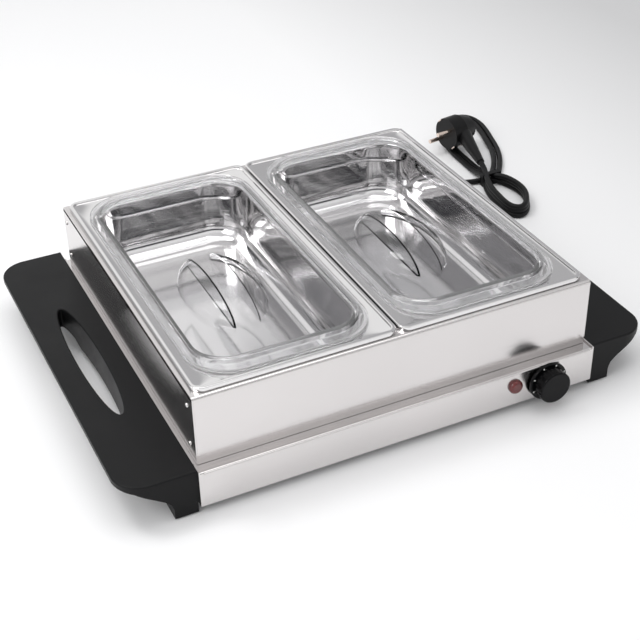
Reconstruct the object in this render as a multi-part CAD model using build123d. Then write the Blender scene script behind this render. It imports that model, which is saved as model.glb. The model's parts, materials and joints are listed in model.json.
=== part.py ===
from build123d import *
import math
import os

# Tabletop steam table unit: an electric warming tray, a riveted rack that stands on it,
# two third-size food pans hanging in the rack, and a clear lid lying upside down in each pan.
# X runs along the longer side, -Y is the front with the knob, Z is up.
# The origin is on the table, under the middle of the unit. Sizes are in millimetres.

# ---- Warming tray ----
SHEET = 1.0                 # stainless sheet of the tray
TRAY_HALF_X = 181.8
TRAY_HALF_Y = 177.0
TRAY_BOTTOM = 8.0
TRAY_TOP = 41.2
TRAY_BEND = 1.8             # outer radius of the folded edges
LIP_RADIUS = 1.1            # rolled lip along the front edge
LIP_HALF_X = 178.6
SIDE_SHEET = 1.2
SIDE_TOP = 42.5
SIDE_FLANGE = 12.0          # inward flange that the bottom cover is screwed to
COVER_SCREW_Y = (-150.0, -50.0, 50.0, 150.0)
COVER_SCREW_X = 174.5
COVER_SCREW_RADIUS = 1.55
COVER_SCREW_HEAD = 3.2
VENT_LENGTH = 44.0
VENT_WIDTH = 4.0

# ---- Controls on the front panel ----
KNOB_X = 135.0
KNOB_Z = 24.6
KNOB_FRONT = -193.0
KNOB_BACK = -179.4
KNOB_SKIRT_RADIUS = 18.0
KNOB_BODY_RADIUS = 15.0
KNOB_SKIRT_DEPTH = 2.6
KNOB_FLUTES = 24
KNOB_MARKS = 8              # printed marks round the skirt
MARK_HALF_WIDTH = 0.5
MARK_INNER = 15.3
MARK_OUTER = 16.9
MARK_THICKNESS = 0.25
SHAFT_RADIUS = 3.0
RUNNING_GAP = 0.05
SHAFT_FRONT = KNOB_FRONT + 3
SHAFT_BACK = -167.0
BUSHING_RADIUS = 4.7
NUT_RADIUS = 7.5
NUT_THICKNESS = 2.4
LAMP_X = 104.0
LAMP_Z = 27.0
LENS_RADIUS = 6.5
LENS_DEPTH = 4.2

# ---- Handles ----
HANDLE_INNER = TRAY_HALF_X + SIDE_SHEET
HANDLE_OUTER = 245.0
HANDLE_FRONT = -174.0
HANDLE_BACK = 193.0
HANDLE_TOP = 42.0
HANDLE_CORNER = 25.0
LEG_OUTER = 204.0
LEG_LENGTH = 20.0
WING_BOTTOM = 11.0
PAD_HEIGHT = 1.5
PAD_LENGTH_X = 16.0
PAD_LENGTH_Y = 17.0
PAD_CORNER = 3.0
SLOT_X = 212.0
SLOT_Y = 7.6
SLOT_HALF_X = 11.0
SLOT_HALF_Y = 86.5
HANDLE_SCREW_Y = (-120.0, 10.0, 140.0)
HANDLE_SCREW_Z = 26.0
HANDLE_SCREW_RADIUS = 1.75
HANDLE_SCREW_HEAD = 3.4
HANDLE_SCREW_DEPTH = 10.0

# ---- Rack ----
RACK_SHEET = 1.2
RACK_HALF_X = 180.0
RACK_HALF_Y = 166.5
RACK_BOTTOM = 41.5
RACK_TOP = 105.0
RACK_BEND = 3.0
RACK_RETURN = 22.0          # folded returns behind the side panels
RIVET_RADIUS = 1.15
RIVET_HEAD_RADIUS = 2.0
RIVET_PLACES = ((-154.0, 91.0), (-154.0, 54.0), (159.0, 91.0), (159.0, 56.0))
WINDOW_HALF_X = 78.6
WINDOW_HALF_Y = 153.0
WINDOW_CORNER = 39.0

# ---- Food pans, third size ----
PAN_X = 88.6                # centre of each pan
PAN_SHEET = 1.0
PAN_HALF_X = 88.0
PAN_HALF_Y = 162.5
PAN_CORNER = 10.0
PAN_EDGE_BOTTOM = 105.3
PAN_FLANGE_TOP = 107.3
PAN_BEAD_TOP = 109.0
PAN_BEAD_WIDTH = 4.0
PAN_MOUTH_HALF_X = 76.0
PAN_MOUTH_HALF_Y = 150.0
PAN_MOUTH_CORNER = 38.0
PAN_FLOOR = 44.0
PAN_DRAFT = 2.2
PAN_FLOOR_FILLET = 18.0

# ---- Lids, lying upside down in the pans ----
LID_WALL = 1.8
LID_HALF_X = 78.0
LID_HALF_Y = 155.5
LID_CORNER = 38.0
LID_FLANGE_BOTTOM = 107.6
LID_RIB_TOP = 113.4
LID_RIB_HALF_X = 72.5
LID_RIB_HALF_Y = 145.0
LID_RIB_CORNER = 32.0
LID_DISH_HALF_X = 69.0
LID_DISH_HALF_Y = 139.5
LID_DISH_CORNER = 28.0
LID_FLOOR = 78.0
LID_DRAFT = 11.0
LID_FLOOR_FILLET = 9.0
WELL_HALF_X = 35.5
WELL_HALF_Y = 61.0
WELL_HEIGHT = 20.0
FIN_HALF = 11.0             # half width of the straight channel between the two wells

# ---- Mains lead ----
CORD_RADIUS = 3.05
EXIT_X = 120.0
EXIT_Z = 22.0
RELIEF_END = 212.0
LEAD_ROUTE = (
    (120.0, 212.0, 22.0), (120.0, 227.0, 22.0), (122.0, 243.0, 16.0), (130.0, 258.0, 8.0),
    (144.0, 270.0, 3.2), (163.0, 277.0, 3.2), (186.0, 276.0, 3.2), (207.0, 266.0, 3.2),
    (224.0, 249.0, 3.2), (239.0, 229.0, 3.2), (255.0, 211.0, 3.2), (273.0, 197.5, 3.2),
    (288.0, 191.6, 3.2), (299.0, 190.4, 3.4),
)
TAIL_ROUTE = ((306.0, 190.0, 11.5), (306.7, 200.0, 14.6), (308.4, 211.0, 17.3))
BIG_LOOP = (
    (298.0, 191.0), (297.6, 225.0), (299.6, 262.0), (309.0, 300.0), (330.0, 333.0),
    (354.0, 350.0), (376.0, 343.0), (380.0, 317.0), (371.0, 276.0), (354.0, 226.0),
    (324.0, 191.0),
)
SMALL_LOOP = (
    (296.0, 177.0), (286.0, 156.0), (283.6, 126.0), (284.4, 99.0), (301.0, 102.0),
    (318.0, 117.0), (327.0, 143.0), (325.0, 164.0), (318.0, 177.0),
)
LOOP_HEIGHT = 6.4
SMALL_LOOP_HEIGHT = 13.0
WAIST_LEFT = 296.0
WAIST_RIGHT = 318.0
WAIST_FRONT = 174.0
WAIST_BACK = 194.0
WAIST_BOTTOM = 1.0
WAIST_TOP = 13.6
TIE_THICKNESS = 0.8
TIE_FRONT = 181.0
TIE_BACK = 187.0

# ---- Right-angle plug ----
PLUG_FACE = Vector(300.5, 271.5, 25.2)
PLUG_AIM = Vector(-0.985, -0.174, 0.0)
PLUG_RADIUS = 18.5
PLUG_DEPTH = 34.0
PLUG_BARREL = 18.0          # straight part behind the face
PLUG_BACK_RADIUS = 12.5
PIN_RADIUS = 2.4
PIN_LENGTH = 19.0
PIN_ROOT = 8.0
PIN_SPACING = 19.0
PIN_TILT = 45.0
PLUG_NECK = ((318.0, 262.0, 25.0), (307.8, 207.0, 16.2))
NECK_THICK = 9.0
NECK_THIN = 4.4


def block(x0, x1, y0, y1, z0, z1):
    """Box between two corners."""
    centre = Pos((x0 + x1) / 2, (y0 + y1) / 2, (z0 + z1) / 2)
    return centre * Box(x1 - x0, y1 - y0, z1 - z0)


def slab(half_x, half_y, corner, z0, z1):
    """Flat plate with rounded corners, centred on Z."""
    return Pos(0, 0, z0) * extrude(RectangleRounded(2 * half_x, 2 * half_y, corner), z1 - z0)


def dish(half_x, half_y, corner, top, floor, draft, fillet_radius):
    """Solid of a drawn dish: rounded rectangle, drafted walls and a filleted floor."""
    mouth = Pos(0, 0, top) * RectangleRounded(2 * half_x, 2 * half_y, corner)
    body = extrude(mouth, floor - top, taper=draft)
    return fillet(body.faces().sort_by(Axis.Z)[0].edges(), fillet_radius)


def along_x(radius, x0, x1, y, z):
    """Round bar from x0 to x1."""
    return Pos((x0 + x1) / 2, y, z) * Rot(0, 90, 0) * Cylinder(radius, abs(x1 - x0))


def along_y(radius, y0, y1, x, z):
    """Round bar from y0 to y1."""
    return Pos(x, (y0 + y1) / 2, z) * Rot(90, 0, 0) * Cylinder(radius, abs(y1 - y0))


def along_z(radius, z0, z1, x, y):
    """Round bar from z0 to z1."""
    return Pos(x, y, (z0 + z1) / 2) * Cylinder(radius, z1 - z0)


def mirrored(shape):
    """The same piece on the other side of the unit."""
    return mirror(shape, about=Plane.YZ)


def bend_radii(points):
    """Largest arc that the two runs beside each corner allow."""
    radii = []
    for before, corner, after in zip(points, points[1:], points[2:]):
        arriving = Vector(*corner) - Vector(*before)
        leaving = Vector(*after) - Vector(*corner)
        half_turn = math.radians(arriving.get_angle(leaving)) / 2
        radii.append(0.45 * min(arriving.length, leaving.length) / math.tan(half_turn))
    return radii


def tube(points, radius):
    """Round tube along straight runs joined by tangent arcs."""
    path = FilletPolyline(*points, radius=bend_radii(points))
    section = Plane(origin=path @ 0, z_dir=path % 0) * Circle(radius)
    return sweep(section, path=path)


def save(name, *solids):
    """Write one node: a single solid, or a group of separate identical pieces."""
    shape = solids[0] if len(solids) == 1 else Compound(children=list(solids))
    export_step(shape, f"parts/{name}.step")


def front_hole(radius, x, z):
    """Cutter through the front panel."""
    return along_y(radius, -TRAY_HALF_Y - 4, -TRAY_HALF_Y + 4, x, z)


def warming_tray():
    """Top plate with the front and back panels folded down from it, and a rolled front lip."""
    outer = block(-TRAY_HALF_X, TRAY_HALF_X, -TRAY_HALF_Y, TRAY_HALF_Y, TRAY_BOTTOM, TRAY_TOP)
    outer = fillet(outer.edges().filter_by(Axis.X).group_by(Axis.Z)[-1], TRAY_BEND)
    inner = block(-TRAY_HALF_X - 1, TRAY_HALF_X + 1, -TRAY_HALF_Y + SHEET, TRAY_HALF_Y - SHEET,
                  TRAY_BOTTOM - 1, TRAY_TOP - SHEET)
    inner = fillet(inner.edges().filter_by(Axis.X).group_by(Axis.Z)[-1], TRAY_BEND - SHEET)
    lip = along_x(LIP_RADIUS, -LIP_HALF_X, LIP_HALF_X, -TRAY_HALF_Y, TRAY_TOP - LIP_RADIUS)
    tray = outer - inner + (lip - inner)
    tray -= front_hole(BUSHING_RADIUS + RUNNING_GAP, KNOB_X, KNOB_Z)
    tray -= front_hole(LENS_RADIUS - 2, LAMP_X, LAMP_Z)
    tray -= along_y(CORD_RADIUS + 2.5, TRAY_HALF_Y - 4, TRAY_HALF_Y + 4, EXIT_X, EXIT_Z)
    return tray


def tray_side():
    """Right side plate, standing just proud of the top plate, with a flange for the cover."""
    plate = block(TRAY_HALF_X, HANDLE_INNER, -TRAY_HALF_Y, TRAY_HALF_Y, TRAY_BOTTOM, SIDE_TOP)
    flange = block(TRAY_HALF_X - SIDE_FLANGE, TRAY_HALF_X, -TRAY_HALF_Y + 2 * SHEET,
                   TRAY_HALF_Y - 2 * SHEET, TRAY_BOTTOM + SHEET, TRAY_BOTTOM + 2 * SHEET)
    side = plate + flange
    for y in COVER_SCREW_Y:
        side -= along_z(COVER_SCREW_RADIUS + RUNNING_GAP, TRAY_BOTTOM, TRAY_BOTTOM + 4, COVER_SCREW_X, y)
    for y in HANDLE_SCREW_Y:
        side -= along_x(HANDLE_SCREW_RADIUS + 0.15, TRAY_HALF_X - 2, HANDLE_INNER + 2, y, HANDLE_SCREW_Z)
    return side


def bottom_cover():
    """Flat cover under the tray with rows of vent slots."""
    cover = block(-TRAY_HALF_X + 0.2, TRAY_HALF_X - 0.2, -TRAY_HALF_Y + SHEET + 0.2,
                  TRAY_HALF_Y - SHEET - 0.2, TRAY_BOTTOM, TRAY_BOTTOM + SHEET)
    for x in (-COVER_SCREW_X, COVER_SCREW_X):
        for y in COVER_SCREW_Y:
            cover -= along_z(COVER_SCREW_RADIUS + 0.25, TRAY_BOTTOM - 1, TRAY_BOTTOM + 2, x, y)
    for column in range(-2, 3):
        for row in range(-3, 4):
            slot = SlotOverall(VENT_LENGTH, VENT_WIDTH)
            place = Pos(column * 64.0, row * 36.0, TRAY_BOTTOM - 1)
            cover -= place * extrude(slot, 3)
    return cover


def cover_screws():
    """Pan-head screws that hold the bottom cover to the side flanges."""
    screws = []
    for x in (-COVER_SCREW_X, COVER_SCREW_X):
        for y in COVER_SCREW_Y:
            head = along_z(COVER_SCREW_HEAD, TRAY_BOTTOM - 1.8, TRAY_BOTTOM, x, y)
            head = fillet(head.edges().group_by(Axis.Z)[0], 1.0)
            shank = along_z(COVER_SCREW_RADIUS, TRAY_BOTTOM, TRAY_BOTTOM + 6, x, y)
            screws.append(head + shank)
    return screws


# ---- Inside the tray ----
ELEMENT_RADIUS = 3.2
ELEMENT_Z = 36.6
ELEMENT_ROUTE = (
    (80, -140), (80, -110), (150, -110), (150, 120), (50, 120), (50, -60),
    (-50, -60), (-50, 120), (-150, 120), (-150, -110), (40, -110), (40, -140),
)
ELEMENT_BEND = 14.0
CLIP_PLACES = ((150, 0), (50, 30), (-50, 30), (-150, 0), (150, 90), (-150, 90))
REFLECTOR_BOTTOM = 28.0
REFLECTOR_SHEET = 0.6
REFLECTOR_HALF_X = 168.0
REFLECTOR_FRONT = -128.0
REFLECTOR_BACK = 160.0
SPACER_PLACES = ((-162.0, -118.0), (162.0, -118.0), (-162.0, 150.0), (162.0, 150.0))
THERMOSTAT_BACK = -156.0
THERMOSTAT_HALF_X = 16.0
THERMOSTAT_BOTTOM = 12.0
THERMOSTAT_TOP = 37.0
LAMP_BACK = -152.0
BULB_X = 100.0
BULB_Z = 37.9
BLOCK_FRONT = 116.0
BLOCK_BACK = 132.0
BLOCK_HALF_X = 20.0
BLOCK_TOP = 23.0
POLE_PITCH = 12.0
POLE_RADIUS = 2.4
STUD_X = 84.0
RELIEF_INNER = 164.0
CAPILLARY_RADIUS = 0.8
CAPILLARY_ROUTE = (
    (BULB_X, -40, BULB_Z), (BULB_X, -50, BULB_Z), (101, -72, 33), (102, -96, 31.2),
    (108, -120, 31.2), (124, -134, 30.5), (KNOB_X, -145, 28), (KNOB_X, THERMOSTAT_BACK, 28),
)
WIRE_RADIUS = 1.2
WIRE_ROUTES = {
    "wire_live": ((118, 164, 20.5), (118, 156, 20.5), (113, 148, 18), (108, 140, 16),
                  (108, 132, 16)),
    "wire_neutral": ((122, 164, 20.5), (122, 156, 20.5), (127, 148, 18), (132, 140, 16),
                     (132, 132, 16)),
    "wire_earth": ((120, 164, 24), (120, 156, 24), (112, 146, 24), (98, 142, 24), (87, 146, 23),
                   (84, 155, 22), (84, 164, 22)),
    "wire_thermostat": ((132, 116, 16), (132, 98, 16), (142, 50, 12.5), (154, -10, 12.5),
                        (154, -90, 12.5), (144, -134, 16), (142, -146, 17), (142, -156, 17)),
    "wire_lamp": ((120, 116, 16), (120, 96, 16), (112, 50, 16.5), (106, -20, 16.5),
                  (106, -90, 16.5), (104, -130, 22), (104, -142, 25), (104, -152, 25)),
    "wire_element": ((108, 116, 16), (108, 102, 16), (90, 60, 21.5), (60, 0, 21.5),
                     (36, -80, 21.5), (30, -132, 25), (31, -150, 31), (36, -154, 36),
                     (40, -148, 36.6), (40, -140, 36.6)),
}


def heating_element():
    """Sheathed element bent to and fro under the top plate."""
    points = [(x, y, ELEMENT_Z) for x, y in ELEMENT_ROUTE]
    path = FilletPolyline(*points, radius=ELEMENT_BEND)
    section = Plane(origin=path @ 0, z_dir=path % 0) * Circle(ELEMENT_RADIUS)
    return sweep(section, path=path)


def element_clips():
    """Saddle clips that press the element's long runs against the top plate."""
    clips = []
    for x, y in CLIP_PLACES:
        clip = block(x - 9, x + 9, y - 5, y + 5, ELEMENT_Z - 4.4, TRAY_TOP - SHEET)
        clip -= along_y(ELEMENT_RADIUS + RUNNING_GAP, y - 6, y + 6, x, ELEMENT_Z)
        clips.append(clip)
    return clips


def reflector_sheet():
    """Aluminium sheet that turns the heat upwards."""
    return block(-REFLECTOR_HALF_X, REFLECTOR_HALF_X, REFLECTOR_FRONT, REFLECTOR_BACK,
                 REFLECTOR_BOTTOM, REFLECTOR_BOTTOM + REFLECTOR_SHEET)


def reflector_spacers():
    """Posts that hang the reflector sheet under the top plate."""
    low = REFLECTOR_BOTTOM + REFLECTOR_SHEET
    return [along_z(3, low, TRAY_TOP - SHEET, x, y) for x, y in SPACER_PLACES]


def thermostat_body():
    """Capillary thermostat with its threaded bushing through the front panel."""
    body = block(KNOB_X - THERMOSTAT_HALF_X, KNOB_X + THERMOSTAT_HALF_X, -TRAY_HALF_Y + SHEET,
                 THERMOSTAT_BACK, THERMOSTAT_BOTTOM, THERMOSTAT_TOP)
    body = fillet(body.edges().filter_by(Axis.Y), 3)
    body += along_y(BUSHING_RADIUS, -TRAY_HALF_Y - 3.2, -TRAY_HALF_Y + 2, KNOB_X, KNOB_Z)
    return body - along_y(SHAFT_RADIUS + RUNNING_GAP, -TRAY_HALF_Y - 4, -166, KNOB_X, KNOB_Z)


def thermostat_nut():
    """Thin hexagon nut on the bushing."""
    hexagon = Plane(origin=(KNOB_X, -TRAY_HALF_Y, KNOB_Z), z_dir=(0, -1, 0))
    nut = extrude(hexagon * RegularPolygon(NUT_RADIUS, 6), NUT_THICKNESS)
    return nut - along_y(BUSHING_RADIUS + RUNNING_GAP, -TRAY_HALF_Y - 5, -TRAY_HALF_Y + 1,
                         KNOB_X, KNOB_Z)


def pilot_lens():
    """Red lens with a rounded rim and a stem through the panel."""
    cap = along_y(LENS_RADIUS, -TRAY_HALF_Y - LENS_DEPTH, -TRAY_HALF_Y, LAMP_X, LAMP_Z)
    cap = fillet(cap.edges().group_by(Axis.Y)[0], LENS_DEPTH - 1)
    return cap + along_y(LENS_RADIUS - 2.1, -TRAY_HALF_Y, -TRAY_HALF_Y + 4, LAMP_X, LAMP_Z)


def pilot_lamp_body():
    """Neon lamp body clipped behind the panel."""
    body = along_y(LENS_RADIUS, -TRAY_HALF_Y + SHEET, LAMP_BACK, LAMP_X, LAMP_Z)
    return body - along_y(LENS_RADIUS - 2, -TRAY_HALF_Y, -TRAY_HALF_Y + 4.2, LAMP_X, LAMP_Z)


def terminal_block():
    """Three-pole terminal block on the bottom cover."""
    base = block(EXIT_X - BLOCK_HALF_X, EXIT_X + BLOCK_HALF_X, BLOCK_FRONT, BLOCK_BACK,
                 TRAY_BOTTOM + SHEET, BLOCK_TOP)
    middle = (BLOCK_FRONT + BLOCK_BACK) / 2
    for pole in range(-1, 2):
        base -= along_z(POLE_RADIUS, BLOCK_TOP - 5.5, BLOCK_TOP + 1, EXIT_X + POLE_PITCH * pole, middle)
    return base


def earth_stud():
    """Stud and nut on the back panel."""
    stud = along_y(2.0, RELIEF_INNER, TRAY_HALF_Y - SHEET, STUD_X, EXIT_Z)
    nut = Plane(origin=(STUD_X, TRAY_HALF_Y - SHEET, EXIT_Z), z_dir=(0, -1, 0))
    return stud + extrude(nut * RegularPolygon(3.8, 6), 3.2)


def write_base():
    """Tray, its inside and its controls."""
    save("warming_tray", warming_tray())
    side = tray_side()
    save("tray_side_right", side)
    save("tray_side_left", mirrored(side))
    save("bottom_cover", bottom_cover())
    save("cover_screws", *cover_screws())
    save("heating_element", heating_element())
    save("element_clips", *element_clips())
    save("reflector_sheet", reflector_sheet())
    save("reflector_spacers", *reflector_spacers())
    save("thermostat_body", thermostat_body())
    save("thermostat_nut", thermostat_nut())
    save("sensor_bulb", along_y(2.2, -40, 20, BULB_X, BULB_Z))
    save("sensor_capillary", tube(CAPILLARY_ROUTE, CAPILLARY_RADIUS))
    save("pilot_lens", pilot_lens())
    save("pilot_lamp_body", pilot_lamp_body())
    save("terminal_block", terminal_block())
    save("earth_stud", earth_stud())
    for name, route in WIRE_ROUTES.items():
        save(name, tube(route, WIRE_RADIUS))


# ---- Handles ----
WING_UNDERSIDE = ((245.0, 37.0), (233.0, 35.0), (222.0, 29.0), (211.0, 21.5), (206.0, 17.0),
                  (204.0, WING_BOTTOM))


def handle():
    """Right handle: a wedge-shaped wing with a long hand slot and a leg at each end."""
    outline = [(HANDLE_INNER, HANDLE_TOP), (HANDLE_OUTER, HANDLE_TOP), *WING_UNDERSIDE,
               (HANDLE_INNER, WING_BOTTOM)]
    section = make_face(Polyline([(x, HANDLE_FRONT, z) for x, z in outline], close=True))
    wing = extrude(section, HANDLE_BACK - HANDLE_FRONT, dir=(0, 1, 0))
    middle = (HANDLE_FRONT + HANDLE_BACK) / 2
    plan = Pos(HANDLE_INNER, middle, 0) * RectangleRounded(
        2 * (HANDLE_OUTER - HANDLE_INNER), HANDLE_BACK - HANDLE_FRONT, HANDLE_CORNER)
    wing &= extrude(plan, HANDLE_TOP + 1)
    wing = fillet(wing.faces().sort_by(Axis.Z)[-1].edges().filter_by(
        lambda edge: edge.center().X > HANDLE_INNER + 1), 1.4)
    for y0 in (HANDLE_FRONT, HANDLE_BACK - LEG_LENGTH):
        leg = block(HANDLE_INNER + SIDE_SHEET, LEG_OUTER, y0, y0 + LEG_LENGTH, PAD_HEIGHT,
                    WING_BOTTOM + 0.01)
        wing += leg
    slot = Pos(SLOT_X, SLOT_Y, 0) * extrude(Ellipse(SLOT_HALF_X, SLOT_HALF_Y), HANDLE_TOP + 5)
    wing -= slot
    wing = fillet(wing.edges().filter_by(
        lambda edge: abs(edge.center().Z - HANDLE_TOP) < 0.01
        and abs(edge.center().X - SLOT_X) < SLOT_HALF_X + 1
        and abs(edge.center().Y - SLOT_Y) < SLOT_HALF_Y + 1), 1.2)
    for y in HANDLE_SCREW_Y:
        wing -= along_x(HANDLE_SCREW_RADIUS + RUNNING_GAP, HANDLE_INNER - 1,
                        HANDLE_INNER + HANDLE_SCREW_DEPTH, y, HANDLE_SCREW_Z)
    return wing


def handle_screws():
    """Screws from inside the tray into both handles."""
    screws = []
    for side in (-1, 1):
        for y in HANDLE_SCREW_Y:
            head = along_x(HANDLE_SCREW_HEAD, side * (TRAY_HALF_X - 2.4), side * TRAY_HALF_X, y,
                           HANDLE_SCREW_Z)
            shank = along_x(HANDLE_SCREW_RADIUS, side * TRAY_HALF_X,
                            side * (HANDLE_INNER + HANDLE_SCREW_DEPTH - 0.4), y, HANDLE_SCREW_Z)
            screws.append(head + shank)
    return screws


def foot_pads():
    """Rubber pads under the four legs."""
    pads = []
    middle_x = (HANDLE_INNER + SIDE_SHEET + LEG_OUTER) / 2
    for side in (-1, 1):
        for y in (HANDLE_FRONT + LEG_LENGTH / 2, HANDLE_BACK - LEG_LENGTH / 2):
            pad = extrude(RectangleRounded(PAD_LENGTH_X, PAD_LENGTH_Y, PAD_CORNER), PAD_HEIGHT)
            pads.append(Pos(side * middle_x, y, 0) * pad)
    return pads


def write_handles():
    """Both handles with their screws and pads."""
    right = handle()
    save("handle_right", right)
    save("handle_left", mirrored(right))
    save("handle_screws", *handle_screws())
    save("foot_pads", *foot_pads())


# ---- Rack ----
def rack_frame():
    """Top with two windows, and front and back skirts folded down from it."""
    outer = block(-RACK_HALF_X, RACK_HALF_X, -RACK_HALF_Y, RACK_HALF_Y, RACK_BOTTOM, RACK_TOP)
    outer = fillet(outer.edges().filter_by(Axis.X).group_by(Axis.Z)[-1], RACK_BEND)
    inner = block(-RACK_HALF_X - 1, RACK_HALF_X + 1, -RACK_HALF_Y + RACK_SHEET,
                  RACK_HALF_Y - RACK_SHEET, RACK_BOTTOM - 1, RACK_TOP - RACK_SHEET)
    inner = fillet(inner.edges().filter_by(Axis.X).group_by(Axis.Z)[-1], RACK_BEND - RACK_SHEET)
    frame = outer - inner
    for side in (-1, 1):
        window = slab(WINDOW_HALF_X, WINDOW_HALF_Y, WINDOW_CORNER, RACK_TOP - 5, RACK_TOP + 5)
        frame -= Pos(side * PAN_X, 0, 0) * window
        flush = RACK_HALF_X - RACK_SHEET
        x0, x1 = sorted((side * flush, side * RACK_HALF_X))
        for end in (-1, 1):
            y0, y1 = sorted((end * (RACK_HALF_Y + 1), end * (RACK_HALF_Y - RACK_SHEET - 1)))
            frame -= block(x0, x1, y0, y1, RACK_BOTTOM - 1, RACK_TOP - RACK_BEND - 1)
            y0, y1 = sorted((end * (RACK_HALF_Y - RACK_SHEET), end * (RACK_HALF_Y - RACK_RETURN)))
            x2, x3 = sorted((side * flush, side * (flush - RACK_SHEET)))
            frame += block(x2, x3, y0, y1, RACK_BOTTOM, RACK_TOP - RACK_BEND - 2)
    for hole in rivet_shanks(RIVET_RADIUS + RUNNING_GAP):
        frame -= hole
    return frame


def rivet_shanks(radius):
    """Bars through the side panels and the returns behind them."""
    bars = []
    for side in (-1, 1):
        for y, z in RIVET_PLACES:
            bars.append(along_x(radius, side * (RACK_HALF_X - 2 * RACK_SHEET - 0.8),
                                side * (RACK_HALF_X + 0.1), y, z))
    return bars


def rack_side():
    """Right side panel, outside the returns of the front and back skirts."""
    panel = block(RACK_HALF_X - RACK_SHEET, RACK_HALF_X, -RACK_HALF_Y + 0.2, RACK_HALF_Y - 0.2,
                  RACK_BOTTOM, RACK_TOP - RACK_BEND - 1.2)
    for hole in rivet_shanks(RIVET_RADIUS + RUNNING_GAP):
        panel -= hole
    return panel


def rack_rivets():
    """Dome-head rivets, two at each upright corner."""
    rivets = []
    for side in (-1, 1):
        for y, z in RIVET_PLACES:
            shank = along_x(RIVET_RADIUS, side * (RACK_HALF_X - 2 * RACK_SHEET - 0.8),
                            side * RACK_HALF_X, y, z)
            tail_end = side * (RACK_HALF_X - 2 * RACK_SHEET)
            tail = along_x(1.8, tail_end - side * 0.8, tail_end, y, z)
            head = along_x(RIVET_HEAD_RADIUS, side * RACK_HALF_X, side * (RACK_HALF_X + 1.1), y, z)
            outermost = head.edges().sort_by(Axis.X)[-1 if side > 0 else 0]
            rivets.append(fillet(outermost, 1.0) + shank + tail)
    return rivets


def write_rack():
    """Rack with its riveted side panels."""
    save("rack_frame", rack_frame())
    side = rack_side()
    save("rack_side_right", side)
    save("rack_side_left", mirrored(side))
    save("rack_rivets", *rack_rivets())


# ---- Pans and lids ----
def food_pan():
    """Drawn pan with a flat flange, a raised bead round it and a down-turned edge."""
    flange = slab(PAN_HALF_X, PAN_HALF_Y, PAN_CORNER, PAN_EDGE_BOTTOM, PAN_BEAD_TOP)
    flange = fillet(flange.faces().sort_by(Axis.Z)[-1].edges(), 1.2)
    field_x = PAN_HALF_X - PAN_BEAD_WIDTH
    field_y = PAN_HALF_Y - PAN_BEAD_WIDTH
    field_corner = PAN_CORNER - PAN_BEAD_WIDTH
    flange -= slab(field_x, field_y, field_corner, PAN_FLANGE_TOP, PAN_BEAD_TOP + 1)
    flange -= slab(PAN_HALF_X - PAN_SHEET, PAN_HALF_Y - PAN_SHEET, PAN_CORNER - PAN_SHEET,
                   PAN_EDGE_BOTTOM - 1, PAN_FLANGE_TOP - PAN_SHEET)
    bowl = dish(PAN_MOUTH_HALF_X + PAN_SHEET, PAN_MOUTH_HALF_Y + PAN_SHEET,
                PAN_MOUTH_CORNER + PAN_SHEET, PAN_FLANGE_TOP, PAN_FLOOR - PAN_SHEET, PAN_DRAFT,
                PAN_FLOOR_FILLET + PAN_SHEET)
    space = dish(PAN_MOUTH_HALF_X, PAN_MOUTH_HALF_Y, PAN_MOUTH_CORNER, PAN_FLANGE_TOP, PAN_FLOOR,
                 PAN_DRAFT, PAN_FLOOR_FILLET)
    return flange + bowl - space


def clear_lid():
    """Moulded lid, dome downwards: flange, locating rib, dished body and two finger wells."""
    flange_top = LID_FLANGE_BOTTOM + LID_WALL
    rim = slab(LID_HALF_X, LID_HALF_Y, LID_CORNER, LID_FLANGE_BOTTOM, flange_top)
    rib = slab(LID_RIB_HALF_X, LID_RIB_HALF_Y, LID_RIB_CORNER, LID_FLANGE_BOTTOM, LID_RIB_TOP)
    rib = fillet(rib.faces().sort_by(Axis.Z)[-1].edges(), 1.2)
    bowl = dish(LID_DISH_HALF_X + LID_WALL, LID_DISH_HALF_Y + LID_WALL, LID_DISH_CORNER + LID_WALL,
                flange_top, LID_FLOOR - LID_WALL, LID_DRAFT, LID_FLOOR_FILLET + LID_WALL)
    mouth = slab(LID_DISH_HALF_X, LID_DISH_HALF_Y, LID_DISH_CORNER, flange_top, LID_RIB_TOP + 1)
    space = dish(LID_DISH_HALF_X, LID_DISH_HALF_Y, LID_DISH_CORNER, flange_top, LID_FLOOR,
                 LID_DRAFT, LID_FLOOR_FILLET)
    lid = rim + rib + bowl - space - mouth
    for side in (-1, 1):
        hollow = well_dome(side, LID_WALL, LID_FLOOR - LID_WALL - 1)
        shell = well_dome(side, 0.0, LID_FLOOR - LID_WALL) - hollow
        lid = lid - hollow + shell
    return lid


def well_dome(side, inset, bottom):
    """Half of an ellipsoid, beside the straight channel, cut off flat below."""
    ball = Rot(0, 0, 90) * Sphere(1)
    dome = scale(ball, by=(WELL_HALF_X - inset, WELL_HALF_Y - inset, WELL_HEIGHT))
    dome = Pos(0, 0, LID_FLOOR - inset) * dome
    near = side * (FIN_HALF + inset)
    x0, x1 = sorted((near, side * (WELL_HALF_X + 1)))
    return dome & block(x0, x1, -WELL_HALF_Y, WELL_HALF_Y, bottom, LID_FLOOR + WELL_HEIGHT + 1)


def write_pans():
    """One pan and one lid on each side."""
    pan = food_pan()
    lid = clear_lid()
    for side, word in ((-1, "left"), (1, "right")):
        save(f"pan_{word}", Pos(side * PAN_X, 0, 0) * pan)
        save(f"lid_{word}", Pos(side * PAN_X, 0, 0) * lid)


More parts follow.
